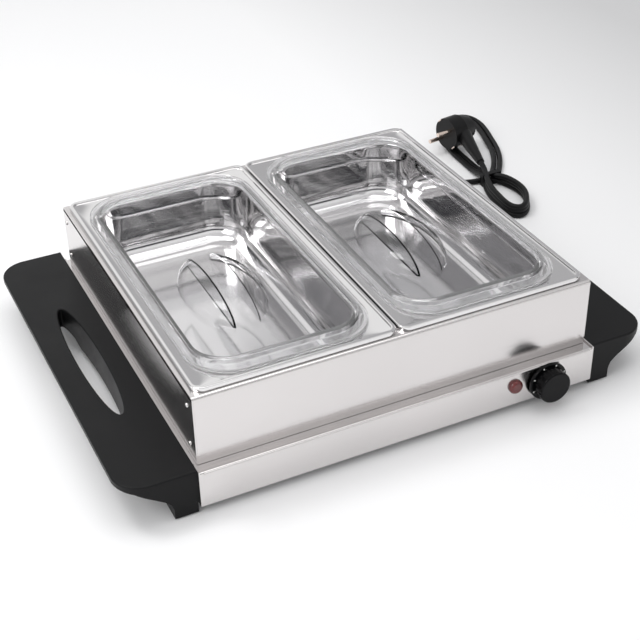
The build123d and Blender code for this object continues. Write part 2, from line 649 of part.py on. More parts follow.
# ---- Knob ----
def control_knob():
    """Fluted knob with a thin skirt, hollow behind to clear the nut."""
    skirt = along_y(KNOB_SKIRT_RADIUS, KNOB_BACK - KNOB_SKIRT_DEPTH, KNOB_BACK, KNOB_X, KNOB_Z)
    skirt = fillet(skirt.edges().group_by(Axis.Y)[0], 1.0)
    body = along_y(KNOB_BODY_RADIUS, KNOB_FRONT, KNOB_BACK - 1, KNOB_X, KNOB_Z)
    body = fillet(body.edges().group_by(Axis.Y)[0], 1.6)
    for index in range(KNOB_FLUTES):
        angle = 2 * math.pi * (index + 0.5) / KNOB_FLUTES
        x = KNOB_X + (KNOB_BODY_RADIUS + 0.5) * math.cos(angle)
        z = KNOB_Z + (KNOB_BODY_RADIUS + 0.5) * math.sin(angle)
        body -= along_y(1.1, KNOB_FRONT - 1, KNOB_BACK - KNOB_SKIRT_DEPTH, x, z)
    knob = skirt + body
    knob -= along_y(10.5, KNOB_BACK - 4.5, KNOB_BACK + 1, KNOB_X, KNOB_Z)
    return knob - along_y(SHAFT_RADIUS, SHAFT_FRONT, KNOB_BACK, KNOB_X, KNOB_Z)


def knob_marks():
    """Thin white marks standing on the front of the skirt."""
    marks = []
    face = KNOB_BACK - KNOB_SKIRT_DEPTH
    centre = Pos(KNOB_X, 0, KNOB_Z)
    for index in range(KNOB_MARKS):
        mark = block(-MARK_HALF_WIDTH, MARK_HALF_WIDTH, face - MARK_THICKNESS, face, MARK_INNER,
                     MARK_OUTER)
        marks.append(centre * Rot(0, 360 * (index + 0.5) / KNOB_MARKS, 0) * mark)
    return marks


def write_knob():
    """Knob, its marks and the thermostat shaft that it turns."""
    save("control_knob", control_knob())
    save("knob_marks", *knob_marks())
    save("thermostat_shaft", along_y(SHAFT_RADIUS, SHAFT_FRONT, SHAFT_BACK, KNOB_X, KNOB_Z))


# ---- Mains lead and plug ----
def strain_relief():
    """Tapered sleeve with a collar inside the back panel."""
    collar = along_y(CORD_RADIUS + 4, TRAY_HALF_Y - SHEET - 3, TRAY_HALF_Y - SHEET, EXIT_X, EXIT_Z)
    inner = along_y(CORD_RADIUS + 0.6, RELIEF_INNER, TRAY_HALF_Y, EXIT_X, EXIT_Z)
    stem = along_y(CORD_RADIUS + 2.5, TRAY_HALF_Y - SHEET - 1, TRAY_HALF_Y + 1, EXIT_X, EXIT_Z)
    length = RELIEF_END - TRAY_HALF_Y
    sleeve = Pos(EXIT_X, TRAY_HALF_Y + length / 2, EXIT_Z) * Rot(-90, 0, 0) * Cone(
        CORD_RADIUS + 3.2, CORD_RADIUS + 0.7, length)
    return collar + inner + stem + sleeve


def loop_solid(points, height):
    """Outer shape of one loop of the tied lead, lying on the table."""
    outline = Spline([(x, y) for x, y in points]) + Line(points[-1], points[0])
    return extrude(make_face(outline), height)


def cord_hank():
    """Outer shape of the tied hank: a large loop, a small loop and the bundle between them."""
    bundle = block(WAIST_LEFT, WAIST_RIGHT, WAIST_FRONT, WAIST_BACK, WAIST_BOTTOM, WAIST_TOP)
    return bundle + loop_solid(BIG_LOOP, LOOP_HEIGHT) + loop_solid(SMALL_LOOP, SMALL_LOOP_HEIGHT)


def cord_tie():
    """Flat strap round the bundle."""
    outer = block(WAIST_LEFT - TIE_THICKNESS, WAIST_RIGHT + TIE_THICKNESS, TIE_FRONT, TIE_BACK,
                  WAIST_BOTTOM - TIE_THICKNESS, WAIST_TOP + TIE_THICKNESS)
    return outer - block(WAIST_LEFT, WAIST_RIGHT, TIE_FRONT - 1, TIE_BACK + 1, WAIST_BOTTOM, WAIST_TOP)


def plug_plane():
    """Plane of the plug's face: Z along the pins, X along the line through both pins."""
    face = Plane(origin=PLUG_FACE, x_dir=PLUG_AIM.cross(Vector(0, 0, 1)), z_dir=PLUG_AIM)
    return Location(face) * Rot(0, 0, PIN_TILT)


def plug_body():
    """Round face, tapering back, with the neck leaving at a right angle."""
    face = plug_plane()
    taper = PLUG_DEPTH - PLUG_BARREL
    body = face * Pos(0, 0, -PLUG_BARREL / 2) * Cylinder(PLUG_RADIUS, PLUG_BARREL)
    body += face * Pos(0, 0, -PLUG_BARREL - taper / 2) * Rot(180, 0, 0) * Cone(
        PLUG_RADIUS, PLUG_BACK_RADIUS, taper)
    start = Vector(*PLUG_NECK[0])
    end = Vector(*PLUG_NECK[1])
    middle = (start + end) * 0.5
    neck = Location(Plane(origin=middle, z_dir=end - start))
    body += neck * Cone(NECK_THICK, NECK_THIN, (end - start).length)
    for side in (-1, 1):
        socket = Pos(side * PIN_SPACING / 2, 0, -PIN_ROOT / 2) * Cylinder(PIN_RADIUS, PIN_ROOT + 0.2)
        body -= face * socket
        body -= face * Pos(0, side * (PLUG_RADIUS - 0.6), -6) * Box(6.2, 1.6, 14)
    return body


def plug_pins():
    """Two round pins."""
    face = plug_plane()
    length = PIN_LENGTH + PIN_ROOT
    pins = []
    for side in (-1, 1):
        place = Pos(side * PIN_SPACING / 2, 0, length / 2 - PIN_ROOT)
        pin = face * place * Cylinder(PIN_RADIUS, length)
        pins.append(pin)
    return pins


def plug_earth_contacts():
    """Two earth strips let into the sides of the face."""
    face = plug_plane()
    return [face * Pos(0, side * (PLUG_RADIUS - 0.7), -6) * Box(6, 1.2, 12) for side in (-1, 1)]


def write_cord():
    """Strain relief, lead, hank, tie and plug."""
    save("strain_relief", strain_relief())
    save("power_cord_lead", tube(LEAD_ROUTE, CORD_RADIUS))
    save("power_cord_hank", cord_hank())
    save("power_cord_tail", tube(TAIL_ROUTE, CORD_RADIUS))
    save("cord_tie", cord_tie())
    save("plug_body", plug_body())
    save("plug_pins", *plug_pins())
    save("plug_earth_contacts", *plug_earth_contacts())
    for name, route in (("lead", LEAD_ROUTE), ("tail", TAIL_ROUTE)):
        length = sum((Vector(*b) - Vector(*a)).length for a, b in zip(route, route[1:]))
        print(name, "runs", round(length), "mm, arc radii", [round(r) for r in bend_radii(route)])


os.makedirs("parts", exist_ok=True)
write_base()
write_handles()
write_rack()
write_pans()
write_knob()
write_cord()
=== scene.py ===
import json
import math

import bmesh
import bpy
from mathutils import Matrix, Vector


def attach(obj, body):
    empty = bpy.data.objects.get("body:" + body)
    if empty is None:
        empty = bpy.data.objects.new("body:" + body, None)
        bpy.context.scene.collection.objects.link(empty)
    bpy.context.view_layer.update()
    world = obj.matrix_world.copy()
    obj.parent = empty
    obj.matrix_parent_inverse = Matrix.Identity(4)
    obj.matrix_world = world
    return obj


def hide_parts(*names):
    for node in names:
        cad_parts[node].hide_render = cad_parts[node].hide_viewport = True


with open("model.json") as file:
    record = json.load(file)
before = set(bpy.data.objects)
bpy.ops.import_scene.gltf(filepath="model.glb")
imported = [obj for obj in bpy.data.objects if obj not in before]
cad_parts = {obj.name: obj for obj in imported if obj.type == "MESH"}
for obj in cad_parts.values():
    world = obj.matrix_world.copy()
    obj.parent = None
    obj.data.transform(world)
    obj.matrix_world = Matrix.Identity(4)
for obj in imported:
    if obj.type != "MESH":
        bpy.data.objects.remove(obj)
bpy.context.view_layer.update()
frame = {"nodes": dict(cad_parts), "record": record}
NODES = frame["nodes"]
MM = 0.001


# ---- Camera ----
CAMERA_PLACE = (-0.4211, -0.9054, 0.6953)
CAMERA_YAW = math.radians(25.24)
CAMERA_PITCH = math.radians(33.76)
CAMERA_ROLL = math.radians(-1.14)
CAMERA_LENS = 73.26
CAMERA_SHIFT_Y = -0.0102


def make_camera():
    """Camera at the reference viewing angle: turned right by the yaw, down by the pitch."""
    forward = Vector((math.sin(CAMERA_YAW) * math.cos(CAMERA_PITCH),
                      math.cos(CAMERA_YAW) * math.cos(CAMERA_PITCH), -math.sin(CAMERA_PITCH)))
    level = Vector((math.cos(CAMERA_YAW), -math.sin(CAMERA_YAW), 0))
    upright = level.cross(forward)
    right = math.cos(CAMERA_ROLL) * level + math.sin(CAMERA_ROLL) * upright
    up = math.cos(CAMERA_ROLL) * upright - math.sin(CAMERA_ROLL) * level
    data = bpy.data.cameras.new("camera")
    data.lens = CAMERA_LENS
    data.sensor_width = 36
    data.shift_y = CAMERA_SHIFT_Y
    camera = bpy.data.objects.new("camera", data)
    camera.matrix_world = Matrix.Translation(CAMERA_PLACE) @ Matrix(
        (right, up, -forward)).transposed().to_4x4()
    bpy.context.scene.collection.objects.link(camera)
    bpy.context.scene.camera = camera


# ---- Materials ----
class Shader:
    """A material with one Principled shader, and short ways to add its nodes."""

    def __init__(self, name, color, **sockets):
        self.material = bpy.data.materials.new(name)
        self.material.use_nodes = True
        self.tree = self.material.node_tree
        self.principled = self.tree.nodes["Principled BSDF"]
        self.set("Base Color", (*color, 1))
        for socket, value in sockets.items():
            self.set(socket.replace("_", " "), value)
        self.where = self.tree.nodes.new("ShaderNodeTexCoord").outputs["Object"]

    def set(self, socket, value):
        self.principled.inputs[socket].default_value = value

    def link(self, output, socket):
        self.tree.links.new(output, self.principled.inputs[socket])

    def noise(self, scale, stretch=(1, 1, 1), detail=3.0, roughness=0.5):
        """Noise of scale waves per metre, stretched along the object's axes."""
        mapping = self.tree.nodes.new("ShaderNodeMapping")
        mapping.inputs["Scale"].default_value = stretch
        self.tree.links.new(self.where, mapping.inputs["Vector"])
        node = self.tree.nodes.new("ShaderNodeTexNoise")
        node.inputs["Scale"].default_value = scale
        node.inputs["Detail"].default_value = detail
        node.inputs["Roughness"].default_value = roughness
        self.tree.links.new(mapping.outputs["Vector"], node.inputs["Vector"])
        return node.outputs["Fac"]

    def place(self, axis):
        """One coordinate of the surface point, in metres."""
        split = self.tree.nodes.new("ShaderNodeSeparateXYZ")
        self.tree.links.new(self.where, split.inputs["Vector"])
        return split.outputs[axis]

    def remap(self, value, low, high, start=0.3, stop=0.7):
        node = self.tree.nodes.new("ShaderNodeMapRange")
        for socket, number in zip(("From Min", "From Max", "To Min", "To Max"),
                                  (start, stop, low, high)):
            node.inputs[socket].default_value = number
        self.tree.links.new(value, node.inputs["Value"])
        return node.outputs["Result"]

    def vary_roughness(self, value, low, high):
        self.link(self.remap(value, low, high), "Roughness")

    def vary_color(self, value, dark, light):
        ramp = self.tree.nodes.new("ShaderNodeValToRGB")
        ramp.color_ramp.elements[0].position = 0.3
        ramp.color_ramp.elements[1].position = 0.7
        ramp.color_ramp.elements[0].color = (*dark, 1)
        ramp.color_ramp.elements[1].color = (*light, 1)
        self.tree.links.new(value, ramp.inputs["Fac"])
        self.link(ramp.outputs["Color"], "Base Color")

    def bump(self, *layers):
        """Bump from (height output, depth in metres) layers."""
        normal = None
        for height, depth in layers:
            node = self.tree.nodes.new("ShaderNodeBump")
            node.inputs["Strength"].default_value = 1.0
            node.inputs["Distance"].default_value = depth
            self.tree.links.new(height, node.inputs["Height"])
            if normal:
                self.tree.links.new(normal, node.inputs["Normal"])
            normal = node.outputs["Normal"]
        self.link(normal, "Normal")


def sheet_steel(name, color, grain, roughness):
    """Thin rolled stainless: fine grain along one direction and faint unevenness."""
    shader = Shader(name, color, Metallic=1.0)
    lines = shader.noise(900, grain, 4.0)
    cloud = shader.noise(9, (1, 1, 1), 2.0)
    shader.vary_roughness(lines, 0.75 * roughness, 1.25 * roughness)
    shader.vary_color(cloud, tuple(0.95 * c for c in color), color)
    shader.bump((shader.noise(5, (1, 1, 1), 1.0), 0.00035), (lines, 0.0000025))
    return shader.material


TRAY_TOP_HEIGHTS = (0.0402, 0.0407)
TRAY_TOP_ROUGHNESS = 0.06
TRAY_NODES = ("warming_tray", "tray_side_left", "tray_side_right")


def tray_steel():
    """The tray's sheet: brushed panels and a brighter polished top plate."""
    shader = Shader("tray sheet", (0.74, 0.715, 0.71), Metallic=1.0)
    shader.link(shader.remap(shader.place("Z"), 0.2, TRAY_TOP_ROUGHNESS, *TRAY_TOP_HEIGHTS),
                "Roughness")
    shader.vary_color(shader.noise(9, (1, 1, 1), 2.0), (0.7, 0.68, 0.675), (0.74, 0.715, 0.71))
    shader.bump((shader.noise(5, (1, 1, 1), 1.0), 0.00025),
                (shader.noise(900, (0.04, 1, 1), 4.0), 0.0000025))
    return shader.material


PAN_FLOOR_HEIGHTS = (0.046, 0.062)
PAN_FLOOR_ROUGHNESS = 0.12
PAN_WALL_ROUGHNESS = 0.07


def pan_steel():
    """Polished drawn stainless: bright walls and flange, and a slightly more satin floor."""
    shader = Shader("pan steel", (0.82, 0.81, 0.81), Metallic=1.0)
    height = shader.place("Z")
    satin = shader.remap(height, PAN_FLOOR_ROUGHNESS, PAN_WALL_ROUGHNESS, *PAN_FLOOR_HEIGHTS)
    shader.link(satin, "Roughness")
    shader.vary_color(shader.noise(9, (1, 1, 1), 2.0), (0.79, 0.78, 0.785), (0.83, 0.82, 0.82))
    shader.bump((shader.noise(9, (1, 1, 1), 1.0), 0.0002))
    return shader.material


LID_RIM_CLARITY = 0.88
LID_RIM_HEIGHTS = (0.1055, 0.1075)
LID_IOR = 1.27


def clear_plastic():
    """Clear moulded plastic, faintly milky where the flange and rib are thick."""
    shader = Shader("clear lid", (0.99, 0.99, 0.995), IOR=LID_IOR)
    height = shader.place("Z")
    shader.link(shader.remap(height, 1.0, LID_RIM_CLARITY, *LID_RIM_HEIGHTS), "Transmission Weight")
    shader.vary_roughness(shader.noise(60), 0.001, 0.004)
    return shader.material


# Plastics and rubbers darker than this reflect less.
BLACKEST = 0.01


def make_materials():
    made = {}
    made["stainless_sheet"] = sheet_steel("rack sheet", (0.74, 0.715, 0.71), (0.04, 1, 1), 0.2)
    made["cover_steel"] = sheet_steel("cover sheet", (0.55, 0.55, 0.55), (0.05, 1, 1), 0.35)
    made["rivet_steel"] = sheet_steel("rivets", (0.66, 0.65, 0.64), (1, 1, 1), 0.22)
    made["screw_steel"] = sheet_steel("screws", (0.6, 0.6, 0.6), (1, 1, 1), 0.3)
    made["element_steel"] = sheet_steel("element sheath", (0.36, 0.33, 0.3), (1, 1, 1), 0.45)
    made["reflector_aluminium"] = sheet_steel("reflector", (0.8, 0.8, 0.81), (0.05, 1, 1), 0.25)
    made["pin_metal"] = sheet_steel("plug pins", (0.83, 0.7, 0.62), (1, 1, 1), 0.16)
    made["copper"] = sheet_steel("copper", (0.75, 0.42, 0.28), (1, 1, 1), 0.3)

    made["tray_sheet"] = tray_steel()
    made["clear_lid"] = clear_plastic()
    made["pan_steel"] = pan_steel()

    handle = Shader("handle plastic", (0.006, 0.006, 0.0065))
    handle.set("Specular IOR Level", 0.17)
    grain = handle.noise(1400, (1, 1, 1), 2.0)
    handle.vary_roughness(handle.noise(30), 0.36, 0.46)
    handle.vary_color(handle.noise(8), (0.005, 0.005, 0.0055), (0.007, 0.007, 0.0075))
    handle.bump((grain, 0.00005))
    made["handle_plastic"] = handle.material

    knob = Shader("knob plastic", (0.002, 0.002, 0.0025))
    knob.set("Specular IOR Level", 0.16)
    knob.vary_roughness(knob.noise(120), 0.12, 0.2)
    knob.bump((knob.noise(500), 0.000006))
    made["knob_plastic"] = knob.material

    marks = Shader("knob marks", (0.8, 0.8, 0.78))
    marks.vary_roughness(marks.noise(300), 0.3, 0.45)
    made["pointer_white"] = marks.material

    lens = Shader("lamp lens", (0.3, 0.018, 0.015), IOR=1.49)
    lens.set("Transmission Weight", 0.35)
    lens.set("Coat Weight", 0.5)
    lens.vary_roughness(lens.noise(200), 0.1, 0.22)
    lens.vary_color(lens.noise(150), (0.13, 0.012, 0.012), (0.2, 0.02, 0.02))
    made["lamp_red"] = lens.material

    for slot, name, color, rough in (
            ("foot_rubber", "foot rubber", (0.03, 0.03, 0.03), 0.7),
            ("cord_rubber", "lead sheath", (0.006, 0.006, 0.0065), 0.45),
            ("plug_plastic", "plug plastic", (0.006, 0.006, 0.0065), 0.4),
            ("cream_moulding", "cream moulding", (0.72, 0.68, 0.58), 0.45),
            ("wire_brown", "brown wire", (0.2, 0.09, 0.04), 0.4),
            ("wire_blue", "blue wire", (0.05, 0.14, 0.42), 0.4),
            ("wire_green", "earth wire", (0.28, 0.5, 0.06), 0.4)):
        shader = Shader(name, color)
        if max(color) < BLACKEST:
            shader.set("Specular IOR Level", 0.2)
        shader.vary_roughness(shader.noise(90), rough - 0.05, rough + 0.06)
        shader.vary_color(shader.noise(40), tuple(0.85 * c for c in color), color)
        shader.bump((shader.noise(1800, (1, 1, 1), 2.0), 0.00002))
        made[slot] = shader.material
    return made


def dress_nodes(made):
    """Gives each CAD node the procedural material of its slot."""
    for part in frame["record"]["subparts"]:
        mesh = NODES[part["node"]].data
        mesh.materials.clear()
        look = "tray_sheet" if part["node"] in TRAY_NODES else part["material_slot"]
        mesh.materials.append(made[look])


# ---- Mesh helpers ----
def new_object(name, mesh, material, body, smooth_angle=35):
    """Object with smooth shading up to an angle, riding on a body."""
    piece = bpy.data.objects.new(name, mesh)
    bpy.context.scene.collection.objects.link(piece)
    mesh.materials.append(material)
    mesh.shade_smooth()
    mesh.set_sharp_from_angle(angle=math.radians(smooth_angle))
    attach(piece, body)
    return piece


def lathe(name, profile, place, axis, material, body, sides=64, smooth_angle=35):
    """Turned piece: (distance along the axis, radius) stations in metres."""
    turn = axis.to_track_quat("Z", "Y").to_matrix().to_4x4()
    pose = Matrix.Translation(place) @ turn
    vertices = []
    faces = []
    for along, radius in profile:
        for side in range(sides):
            angle = 2 * math.pi * side / sides
            around = Vector((radius * math.cos(angle), radius * math.sin(angle), along))
            vertices.append(pose @ around)
    for ring in range(len(profile) - 1):
        for side in range(sides):
            after = (side + 1) % sides
            faces.append((ring * sides + side, ring * sides + after,
                          (ring + 1) * sides + after, (ring + 1) * sides + side))
    faces.append(tuple(reversed(range(sides))))
    faces.append(tuple(range((len(profile) - 1) * sides, len(profile) * sides)))
    mesh = bpy.data.meshes.new(name)
    mesh.from_pydata(vertices, [], faces)
    return new_object(name, mesh, material, body, smooth_angle)


# ---- Mains lead ----
CORD_DIAMETER = 0.0061
CORD_START = (120.0, 204.0, 22.0)
LEAD_ROUTE = (
    (120.0, 212.0, 22.0), (120.0, 227.0, 22.0), (122.0, 243.0, 16.0), (130.0, 258.0, 8.0),
    (144.0, 270.0, 3.2), (163.0, 277.0, 3.2), (186.0, 276.0, 3.2), (207.0, 266.0, 3.2),
    (224.0, 249.0, 3.2), (239.0, 229.0, 3.2), (255.0, 211.0, 3.2), (273.0, 197.5, 3.2),
    (288.0, 191.6, 3.2), (299.0, 190.4, 3.4),
)
SMALL_LOOP = (
    (317.5, 174), (321.5, 162), (323, 147), (320.5, 132), (313.5, 118.5), (305, 107.5),
    (295.5, 102.5), (287.2, 107.5), (284.6, 118), (285.8, 133), (288.2, 153), (294, 172),
)
BIG_LOOP = (
    (303, 218), (304.2, 238.6), (305.2, 264), (309.6, 287), (320.7, 310.5), (334.5, 330.5),
    (349.5, 342.5), (364, 344.5), (373.5, 335.5), (375.8, 318), (372, 298), (365.5, 276),
    (358.5, 252), (348.5, 229.5), (337, 211), (323.5, 194),
)
CORD_LEVEL = 3.1
SMALL_SPREAD = 7.5
BIG_SPREAD = 11.0
# Each pass round the hank: inset of the small loop and its height, then inset of the big loop.
PASSES = ((0.0, CORD_LEVEL, 0.0), (1.0, 8.6, 7.0), (1.5, 12.4, None))
# Where each pass goes through the tied waist: downwards, then upwards.
WAIST_DOWN = ((311.8, 184, 4.2), (314.6, 184, 9.9), (308.5, 184, 10.2))
WAIST_UP = (
    ((299.4, 183, 4.2), (301.0, 191, 9.5), (302.0, 203, 6.6)),
    ((303.5, 184, 8.4), (306.8, 194, 8.4), (309.3, 206, 6.0)),
    ((300.0, 182, 12.4), (304.6, 192, 13.0)),
)
TAIL_ROUTE = ((306.7, 200.0, 14.8), (308.4, 211.0, 17.3))


def inset_line(points, distance):
    """The same open line, moved to its right-hand side by a distance."""
    moved = []
    for index, point in enumerate(points):
        before = Vector(points[max(index - 1, 0)])
        after = Vector(points[min(index + 1, len(points) - 1)])
        along = (after - before).normalized()
        moved.append((point[0] + distance * along.y, point[1] - distance * along.x))
    return moved


def spread(points, least):
    """Leaves out points that would crowd the one before them."""
    kept = [points[0]]
    for point in points[1:]:
        if (Vector(point) - Vector(kept[-1])).length > least:
            kept.append(point)
    return kept


def cord_points():
    """Lead, the passes round the hank, and the tail into the plug."""
    points = [CORD_START, *LEAD_ROUTE]
    for down, up, (small_inset, level, big_inset) in zip(WAIST_DOWN, WAIST_UP, PASSES):
        points.append(down)
        points += spread([(x, y, level) for x, y in inset_line(SMALL_LOOP, small_inset)],
                         SMALL_SPREAD)
        points += up
        if big_inset is not None:
            points += spread([(x, y, CORD_LEVEL) for x, y in inset_line(BIG_LOOP, big_inset)],
                             BIG_SPREAD)
    points += TAIL_ROUTE
    return points


def make_cord(made):
    """The mains lead as one smooth line, from the strain relief to the plug."""
    points = cord_points()
    data = bpy.data.curves.new("mains_lead", "CURVE")
    data.dimensions = "3D"
    data.bevel_depth = CORD_DIAMETER / 2
    data.bevel_resolution = 6
    data.resolution_u = 8
    data.use_fill_caps = True
    spline = data.splines.new("NURBS")
    spline.points.add(len(points) - 1)
    for slot, point in zip(spline.points, points):
        slot.co = (*(MM * c for c in point), 1)
    spline.order_u = 3
    spline.use_endpoint_u = True
    data.materials.append(made["cord_rubber"])
    cord = bpy.data.objects.new("mains_lead", data)
    bpy.context.scene.collection.objects.link(cord)
    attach(cord, "base")
    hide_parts("power_cord_lead", "power_cord_hank", "power_cord_tail")
    return cord


def cord_length(cord):
    """Length of the lead's centre line."""
    data = cord.data.copy()
    data.bevel_depth = 0
    line = bpy.data.objects.new("measure", data)
    bpy.context.scene.collection.objects.link(line)
    mesh = bpy.data.meshes.new_from_object(line)
    places = [v.co for v in mesh.vertices]
    length = sum((b - a).length for a, b in zip(places, places[1:]))
    bpy.data.objects.remove(line)
    bpy.data.meshes.remove(mesh)
    return length


RELIEF_START = 0.1745
RELIEF_END = 0.212
RELIEF_RINGS = 9
RELIEF_HEAD = 0.006
RELIEF_THICK = 0.0062
RELIEF_TAPER = 0.0024
GROOVE_DEPTH = 0.0007
CORD_X = 0.12
CORD_Z = 0.022


def make_strain_relief(made):
    """Tapered sleeve with ring grooves, over the first part of the lead."""
    length = RELIEF_END - RELIEF_START
    pitch = (length - RELIEF_HEAD) / RELIEF_RINGS
    profile = [(0, 0.0032), (0, 0.0056), (0.0032, 0.0066), (0.0052, 0.0066)]
    for ring in range(RELIEF_RINGS):
        along = RELIEF_HEAD + ring * pitch
        radius = RELIEF_THICK - RELIEF_TAPER * ring / (RELIEF_RINGS - 1)
        groove = radius - GROOVE_DEPTH
        profile += [(along, radius), (along + 0.55 * pitch, radius - 0.0001),
                    (along + 0.62 * pitch, groove), (along + 0.95 * pitch, groove)]
    profile += [(length, 0.0036), (length, 0.0031)]
    relief = lathe("strain_relief_sleeve", profile, Vector((CORD_X, RELIEF_START, CORD_Z)),
                   Vector((0, 1, 0)), made["cord_rubber"], "base", 40)
    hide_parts("strain_relief")
    return relief


# ---- Pans and lids ----
# Sizes are in millimetres. A ring is (half x, half y, corner radius, height). A drawn wall is
# (half x, half y, corner radius, top, floor, draft in degrees, floor fillet, height it starts at).
PAN_X = 88.6
CORNER_STEPS = 16
WALL_STEPS = 6
FILLET_STEPS = 14
FLOOR_MARGIN = 0.6
SMOOTH_ANGLE = 30
PAN_OUTSIDE = (77.0, 151.0, 39.0, 107.3, 43.0, 2.2, 19.0, 105.8)
PAN_INSIDE = (76.0, 150.0, 38.0, 107.3, 44.0, 2.2, 18.0, 106.0)
# From under the flange, round the down-turned edge and the bead, to the mouth.
PAN_EDGE = (
    (77.3, 151.3, 39.3, 106.3), (86.6, 161.1, 8.6, 106.3), (87.0, 161.5, 9.0, 106.0),
    (87.0, 161.5, 9.0, 105.3), (88.0, 162.5, 10.0, 105.3), (88.0, 162.5, 10.0, 107.8),
    (87.84, 162.34, 9.84, 108.4), (87.4, 161.9, 9.4, 108.84), (86.8, 161.3, 8.8, 109.0),
    (84.5, 159.0, 6.5, 109.0), (84.15, 158.65, 6.15, 108.85), (84.0, 158.5, 6.0, 108.5),
    (84.0, 158.5, 6.0, 107.8), (83.85, 158.35, 5.85, 107.45), (83.5, 158.0, 5.5, 107.3),
    (77.6, 151.6, 39.6, 107.3), (76.9, 150.9, 38.9, 107.2), (76.35, 150.35, 38.35, 106.8),
)
LID_OUTSIDE = (70.8, 141.3, 29.8, 109.4, 76.2, 11.0, 10.8, 107.0)
LID_INSIDE = (69.0, 139.5, 28.0, 109.4, 78.0, 11.0, 9.0, 109.4)
# From under the flange, over its edge bead and the tall rib, to the mouth.
LID_EDGE = (
    (71.0, 141.5, 30.0, 107.6), (77.6, 155.1, 37.6, 107.6), (78.0, 155.5, 38.0, 108.0),
    (78.0, 155.5, 38.0, 109.2), (77.7, 155.2, 37.7, 109.6), (76.9, 154.4, 36.9, 109.6),
    (76.5, 154.0, 36.5, 109.2), (73.0, 145.7, 32.5, 109.2), (72.5, 145.1, 32.0, 109.7),
    (72.4, 145.0, 31.9, 112.3), (72.05, 144.65, 31.55, 113.05), (71.3, 143.9, 30.8, 113.4),
    (69.9, 140.5, 28.9, 113.4), (69.3, 139.8, 28.3, 113.1), (69.05, 139.55, 28.05, 112.4),
)
# A well is (half x, half y, height, where its flat side stands, floor).
WELL_ABOVE = (35.5, 61.0, 20.0, 11.0, 78.0)
WELL_BELOW = (34.3, 59.8, 20.6, 11.9, 76.2)
WELL_SLICES = 22
WELL_ARC = 36


def outline(half_x, half_y, corner, z):
    """Points round a rectangle with rounded corners, in millimetres."""
    points = []
    for quarter, (sign_x, sign_y) in enumerate(((1, 1), (-1, 1), (-1, -1), (1, -1))):
        for step in range(CORNER_STEPS + 1):
            angle = math.pi / 2 * (quarter + step / CORNER_STEPS)
            points.append((sign_x * (half_x - corner) + corner * math.cos(angle),
                           sign_y * (half_y - corner) + corner * math.sin(angle), z))
    return points


def drawn_wall(half_x, half_y, corner, top, floor, draft, fillet, start):
    """Rings down a drafted wall from a start height, round the fillet and onto the floor."""
    slope = math.tan(math.radians(draft))
    tangent = fillet * math.tan(math.radians(45 - draft / 2))
    foot = (top - floor) * slope
    wall_end = floor + tangent * math.cos(math.radians(draft))
    stations = []
    for step in range(WALL_STEPS):
        z = start + (wall_end - start) * step / WALL_STEPS
        stations.append(((top - z) * slope, z))
    centre = foot + tangent
    for step in range(FILLET_STEPS + 1):
        angle = math.radians(180 + draft + (90 - draft) * step / FILLET_STEPS)
        stations.append((centre + fillet * math.cos(angle),
                         floor + fillet + fillet * math.sin(angle)))
    stations.append((centre + FLOOR_MARGIN, floor))
    return [(half_x - inset, half_y - inset, corner - inset, z) for inset, z in stations]


def skin(vertices, faces, rings):
    """Adds the rings and the bands between them, and returns the first and the last ring's
    vertices."""
    count = 4 * (CORNER_STEPS + 1)
    first = len(vertices)
    for ring in rings:
        vertices.extend(outline(*ring))
    for ring in range(len(rings) - 1):
        low = first + ring * count
        for side in range(count):
            after = (side + 1) % count
            faces.append((low + side, low + after, low + count + after, low + count + side))
    last = first + (len(rings) - 1) * count
    return list(range(first, first + count)), list(range(last, last + count))


def formed_piece(name, node, material, body, place_x, vertices, faces, holes=()):
    """Mesh in millimetres about the piece's own centre, moved to its place. Each entry of holes
    is a flat floor between closed loops of vertices."""
    shape = bmesh.new()
    made = [shape.verts.new((MM * (x + place_x), MM * y, MM * z)) for x, y, z in vertices]
    for face in faces:
        shape.faces.new([made[index] for index in face])
    for loops in holes:
        edges = []
        for loop in loops:
            for here, there in zip(loop, loop[1:] + loop[:1]):
                edge = shape.edges.get((made[here], made[there]))
                edges.append(edge or shape.edges.new((made[here], made[there])))
        bmesh.ops.triangle_fill(shape, edges=edges, use_beauty=True)
    bmesh.ops.recalc_face_normals(shape, faces=shape.faces)
    mesh = bpy.data.meshes.new(name)
    shape.to_mesh(mesh)
    shape.free()
    piece = new_object(name, mesh, material, body, SMOOTH_ANGLE)
    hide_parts(node)
    return piece


def make_pan(made, word, side):
    """Drawn pan: down-turned edge, raised bead, flange, drafted wall and filleted floor."""
    rings = [*reversed(drawn_wall(*PAN_OUTSIDE)), *PAN_EDGE, *drawn_wall(*PAN_INSIDE)]
    vertices = []
    faces = []
    underside, floor = skin(vertices, faces, rings)
    faces.append(tuple(reversed(underside)))
    faces.append(tuple(floor))
    return formed_piece(f"pan_{word}_shell", f"pan_{word}", made["pan_steel"],
                        f"pan_{word}_body", side * PAN_X, vertices, faces)


